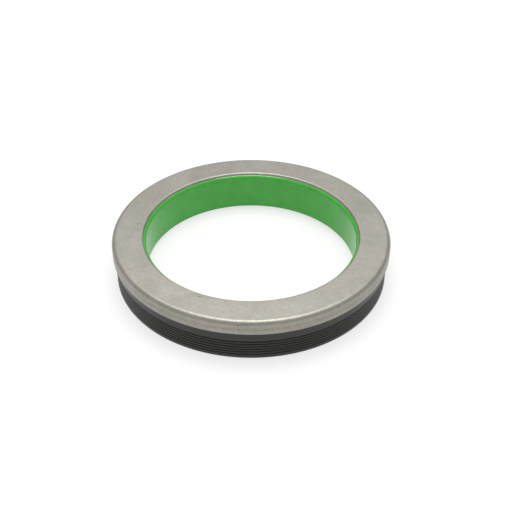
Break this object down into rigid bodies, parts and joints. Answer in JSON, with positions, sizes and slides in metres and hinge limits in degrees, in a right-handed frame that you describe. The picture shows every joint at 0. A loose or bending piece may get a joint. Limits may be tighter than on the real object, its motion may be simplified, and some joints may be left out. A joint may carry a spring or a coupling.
{
  "type": "unitised oil seal",
  "caption": "Ring-shaped wheel-hub oil seal: a bare steel flanged sleeve with a green rubber bore turns inside a black rubber case with a grooved outer wall and spring-loaded lip.",
  "frame": {"origin": "centre of the plane that the black oil side stands on, on the seal's axis", "axes": "+Z along the seal's axis, from the oil side up to the steel flange; X and Y are any two radial directions"},
  "size_m": [0.1556, 0.1556, 0.0254],
  "materials": {
    "bare_steel": "satin",
    "green_rubber": "satin",
    "ring_steel": "satin",
    "case_steel": "satin",
    "black_rubber": "satin",
    "spring_steel": "satin"
  },
  "bodies": {
    "case": {"case_rubber": "black_rubber", "outer_case": "case_steel", "garter_spring": "spring_steel"},
    "sleeve": {"wear_sleeve": "bare_steel", "bore_liner": "green_rubber", "retaining_ring": "ring_steel"}
  },
  "joints": [
    {"name": "sleeve_spin", "type": "hinge", "parent": "case", "child": "sleeve", "pos_m": [0, 0, 0.0127], "axis": [0, 0, 1], "continuous": true}
  ]
}
